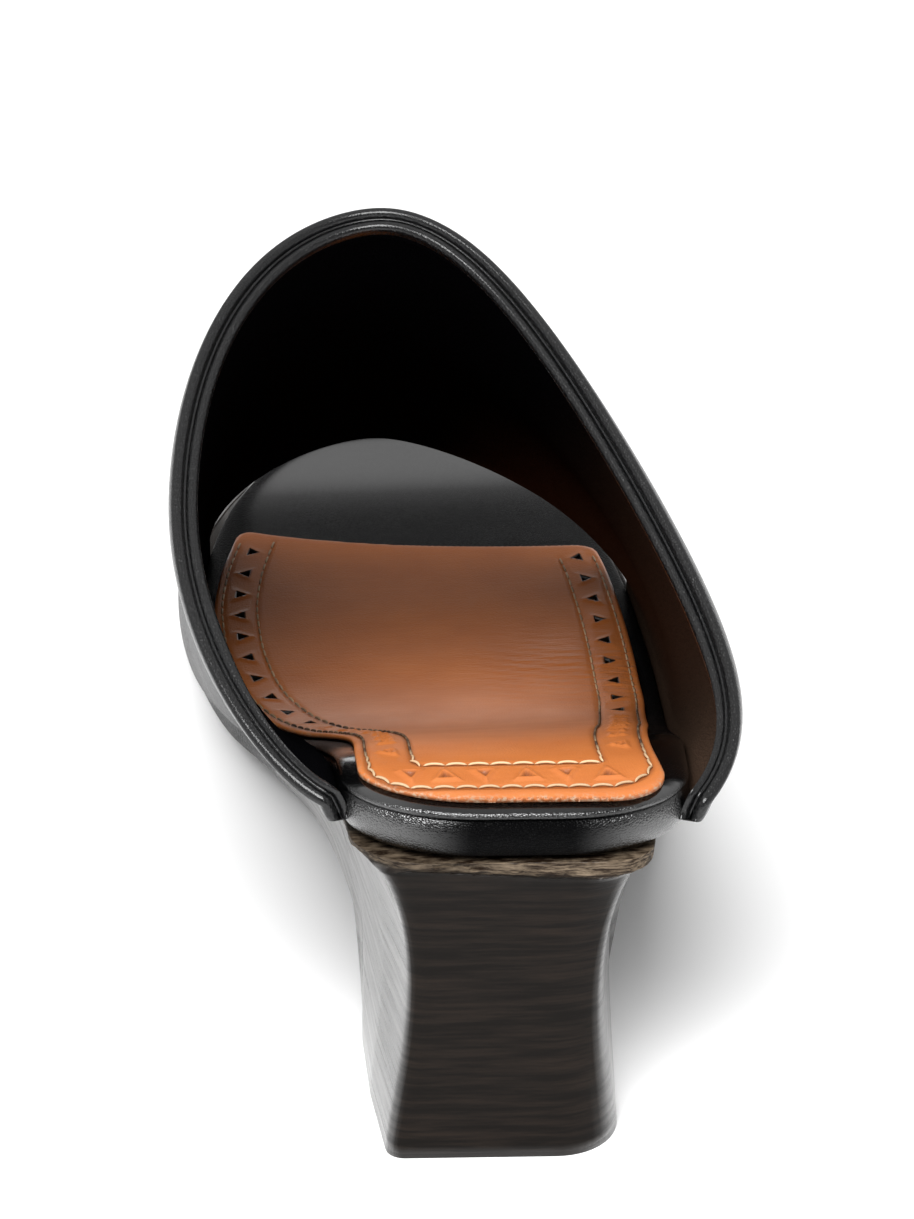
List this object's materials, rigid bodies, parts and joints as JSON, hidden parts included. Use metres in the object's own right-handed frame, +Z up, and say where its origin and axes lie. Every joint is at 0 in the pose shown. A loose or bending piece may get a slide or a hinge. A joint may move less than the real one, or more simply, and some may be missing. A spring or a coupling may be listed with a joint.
{
  "type": "heeled mule",
  "caption": "Open-toed, backless mule: a black leather hood over a tan sock lining and wrapped footbed, on a dark carved wooden sole with a block heel.",
  "frame": {"origin": "centre of the shoe's bounding box, on the floor under the treads", "axes": "+Z up from the floor, +Y from heel to toe, +X towards the outer (lateral) side of this right shoe"},
  "size_m": [0.0952, 0.26, 0.1205],
  "materials": {
    "wooden_sole": "dark stain, satin",
    "footbed": "black, satin",
    "sock_lining": "cognac tan, satin",
    "upper": "black, fine grain, satin"
  },
  "bodies": {
    "root": {"wooden_sole": "wooden_sole", "footbed": "footbed", "sock_lining": "sock_lining", "upper": "upper"}
  },
  "joints": []
}
